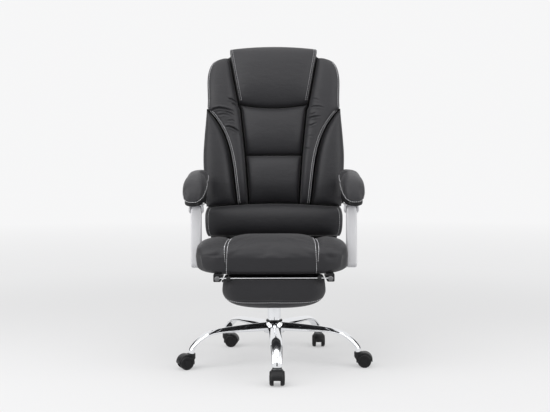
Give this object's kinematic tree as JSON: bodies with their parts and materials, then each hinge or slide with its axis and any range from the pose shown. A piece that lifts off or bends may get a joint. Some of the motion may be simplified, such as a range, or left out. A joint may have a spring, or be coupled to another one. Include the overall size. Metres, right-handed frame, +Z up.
{
  "type": "reclining office chair with footrest",
  "caption": "High-backed padded office chair on a five-star caster base; reclines with linked arms and has a footrest that slides out and flips over.",
  "frame": {"origin": "on the floor, under the centre of the chair's outline, 20 mm in front of the column's axis", "axes": "+Z up, the sitter faces -Y, +X is the sitter's left"},
  "size_m": [0.7134, 0.6956, 1.228],
  "materials": {
    "chrome": "polished chrome plate",
    "silver_paint": "satin silver powder coat",
    "black_steel": "black powder coat",
    "black_plastic": "moulded nylon, slightly glossy",
    "grey_plastic": "grey end caps",
    "wheel": "nylon wheels",
    "plywood": "plywood under black lining",
    "leather": "black imitation leather with fine grain",
    "thread": "silver-grey contrast stitching"
  },
  "bodies": {
    "base": {"star_base": "chrome", "hub_collar": "black_plastic", "column_tube": "chrome"},
    "lift": {"gas_cylinder": "chrome"},
    "mechanism": {"mechanism_housing": "black_steel", "tilt_axle": "chrome"},
    "knob": {"tension_knob": "black_plastic"},
    "lift_handle": {"height_lever": "black_plastic"},
    "seat": {"seat_plate": "black_steel", "seat_board": "plywood", "seat_cushion": "leather", "arm_mount_r": "black_steel", "arm_mount_l": "black_steel", "hinge_seat_plate_r": "black_steel", "hinge_seat_plate_l": "black_steel", "footrest_guide_r": "black_plastic", "footrest_guide_l": "black_plastic"},
    "recline_handle": {"recline_lever": "black_plastic"},
    "back": {"back_board": "plywood", "rear_cover": "leather", "back_strap_r": "black_steel", "back_strap_l": "black_steel", "headrest_pad": "leather", "upper_back_pad": "leather", "lower_back_pad": "leather", "lumbar_roll": "leather", "wing_r": "leather", "wing_l": "leather", "side_bolster_r": "leather", "side_bolster_l": "leather"},
    "post_r": {"arm_post_r": "silver_paint"},
    "post_l": {"arm_post_l": "silver_paint"},
    "arm_r": {"arm_bracket_r": "silver_paint", "arm_base_r": "black_plastic", "arm_pad_r": "leather"},
    "arm_l": {"arm_bracket_l": "silver_paint", "arm_base_l": "black_plastic", "arm_pad_l": "leather"},
    "footrest_slider": {"footrest_frame": "chrome", "footrest_cap_r": "grey_plastic", "footrest_cap_l": "grey_plastic"},
    "footrest_pad": {"footrest_board": "plywood", "footrest_strap_r": "black_steel", "footrest_strap_l": "black_steel", "footrest_cushion": "leather"},
    "caster_1": {"caster_1_hood": "black_plastic"},
    "caster_1_wheel_a": {"caster_1_wheel_a": "wheel"},
    "caster_1_wheel_b": {"caster_1_wheel_b": "wheel"},
    "caster_2": {"caster_2_hood": "black_plastic"},
    "caster_2_wheel_a": {"caster_2_wheel_a": "wheel"},
    "caster_2_wheel_b": {"caster_2_wheel_b": "wheel"},
    "caster_3": {"caster_3_hood": "black_plastic"},
    "caster_3_wheel_a": {"caster_3_wheel_a": "wheel"},
    "caster_3_wheel_b": {"caster_3_wheel_b": "wheel"},
    "caster_4": {"caster_4_hood": "black_plastic"},
    "caster_4_wheel_a": {"caster_4_wheel_a": "wheel"},
    "caster_4_wheel_b": {"caster_4_wheel_b": "wheel"},
    "caster_5": {"caster_5_hood": "black_plastic"},
    "caster_5_wheel_a": {"caster_5_wheel_a": "wheel"},
    "caster_5_wheel_b": {"caster_5_wheel_b": "wheel"}
  },
  "joints": [
    {"name": "height", "type": "slide", "parent": "base", "child": "lift", "axis": [0, 0, 1], "range_m": [0, 0.1]},
    {"name": "swivel", "type": "hinge", "parent": "lift", "child": "mechanism", "pos_m": [0, 0.02, 0.333], "axis": [0, 0, 1], "continuous": true},
    {"name": "tilt", "type": "hinge", "parent": "mechanism", "child": "seat", "pos_m": [0, -0.012, 0.333], "axis": [-1, 0, 0], "range_deg": [0, 14], "stiffness_Nm_per_rad": 90, "springref_deg": -22.92},
    {"name": "tension", "type": "hinge", "parent": "mechanism", "child": "knob", "pos_m": [0, -0.028, 0.293], "axis": [0, 0, 1], "range_deg": [0, 720]},
    {"name": "lift_lever", "type": "hinge", "parent": "mechanism", "child": "lift_handle", "pos_m": [-0.04, 0.035, 0.313], "axis": [0, 1, 0], "range_deg": [0, 6], "stiffness_Nm_per_rad": 3, "springref_deg": -11.46},
    {"name": "recline", "type": "hinge", "parent": "seat", "child": "back", "pos_m": [0, 0.235, 0.408], "axis": [-1, 0, 0], "range_deg": [0, 40]},
    {"name": "recline_lever", "type": "hinge", "parent": "seat", "child": "recline_handle", "pos_m": [-0.2, 0.229, 0.377], "axis": [-1, 0, 0], "range_deg": [0, 20], "stiffness_Nm_per_rad": 2, "springref_deg": -17.19},
    {"name": "post_r", "type": "hinge", "parent": "seat", "child": "post_r", "pos_m": [0, 0, 0.371], "axis": [-1, 0, 0], "range_deg": [0, 40]},
    {"name": "arm_r", "type": "hinge", "parent": "post_r", "child": "arm_r", "pos_m": [0, 0, 0.571], "axis": [1, 0, 0], "range_deg": [0, 40]},
    {"name": "post_l", "type": "hinge", "parent": "seat", "child": "post_l", "pos_m": [0, 0, 0.371], "axis": [-1, 0, 0], "range_deg": [0, 40]},
    {"name": "arm_l", "type": "hinge", "parent": "post_l", "child": "arm_l", "pos_m": [0, 0, 0.571], "axis": [1, 0, 0], "range_deg": [0, 40]},
    {"name": "footrest_slide", "type": "slide", "parent": "seat", "child": "footrest_slider", "axis": [0, -1, 0], "range_m": [0, 0.24]},
    {"name": "footrest_flip", "type": "hinge", "parent": "footrest_slider", "child": "footrest_pad", "pos_m": [0, -0.252, 0.346], "axis": [-1, 0, 0], "range_deg": [0, 180]},
    {"name": "caster_1_swivel", "type": "hinge", "parent": "base", "child": "caster_1", "pos_m": [0.00949, -0.29986, 0.052], "axis": [0, 0, 1], "continuous": true},
    {"name": "caster_1_roll_a", "type": "hinge", "parent": "caster_1", "child": "caster_1_wheel_a", "pos_m": [0.00949, -0.32086, 0.025], "axis": [1, 0, 0], "continuous": true},
    {"name": "caster_1_roll_b", "type": "hinge", "parent": "caster_1", "child": "caster_1_wheel_b", "pos_m": [0.00949, -0.32086, 0.025], "axis": [1, 0, 0], "continuous": true},
    {"name": "caster_2_swivel", "type": "hinge", "parent": "base", "child": "caster_2", "pos_m": [0.30714, -0.06981, 0.052], "axis": [0, 0, 1], "continuous": true},
    {"name": "caster_2_roll_a", "type": "hinge", "parent": "caster_2", "child": "caster_2_wheel_a", "pos_m": [0.32793, -0.07274, 0.025], "axis": [0.1392, 0.9903, 0], "continuous": true},
    {"name": "caster_2_roll_b", "type": "hinge", "parent": "caster_2", "child": "caster_2_wheel_b", "pos_m": [0.32793, -0.07274, 0.025], "axis": [0.1392, 0.9903, 0], "continuous": true},
    {"name": "caster_3_swivel", "type": "hinge", "parent": "base", "child": "caster_3", "pos_m": [0.18033, 0.28435, 0.052], "axis": [0, 0, 1], "continuous": true},
    {"name": "caster_3_roll_a", "type": "hinge", "parent": "caster_3", "child": "caster_3_wheel_a", "pos_m": [0.18033, 0.26335, 0.025], "axis": [1, 0, 0], "continuous": true},
    {"name": "caster_3_roll_b", "type": "hinge", "parent": "caster_3", "child": "caster_3_wheel_b", "pos_m": [0.18033, 0.26335, 0.025], "axis": [1, 0, 0], "continuous": true},
    {"name": "caster_4_swivel", "type": "hinge", "parent": "base", "child": "caster_4", "pos_m": [-0.19569, 0.27319, 0.052], "axis": [0, 0, 1], "continuous": true},
    {"name": "caster_4_roll_a", "type": "hinge", "parent": "caster_4", "child": "caster_4_wheel_a", "pos_m": [-0.17489, 0.27027, 0.025], "axis": [0.1392, 0.9903, 0], "continuous": true},
    {"name": "caster_4_roll_b", "type": "hinge", "parent": "caster_4", "child": "caster_4_wheel_b", "pos_m": [-0.17489, 0.27027, 0.025], "axis": [0.1392, 0.9903, 0], "continuous": true},
    {"name": "caster_5_swivel", "type": "hinge", "parent": "base", "child": "caster_5", "pos_m": [-0.30127, -0.08787, 0.052], "axis": [0, 0, 1], "continuous": true},
    {"name": "caster_5_roll_a", "type": "hinge", "parent": "caster_5", "child": "caster_5_wheel_a", "pos_m": [-0.31998, -0.0974, 0.025], "axis": [0.454, -0.891, 0], "continuous": true},
    {"name": "caster_5_roll_b", "type": "hinge", "parent": "caster_5", "child": "caster_5_wheel_b", "pos_m": [-0.31998, -0.0974, 0.025], "axis": [0.454, -0.891, 0], "continuous": true}
  ],
  "couplings": [
    {"joint": "post_r", "follows": "recline", "ratio": 1},
    {"joint": "arm_r", "follows": "recline", "ratio": 1},
    {"joint": "post_l", "follows": "recline", "ratio": 1},
    {"joint": "arm_l", "follows": "recline", "ratio": 1}
  ]
}
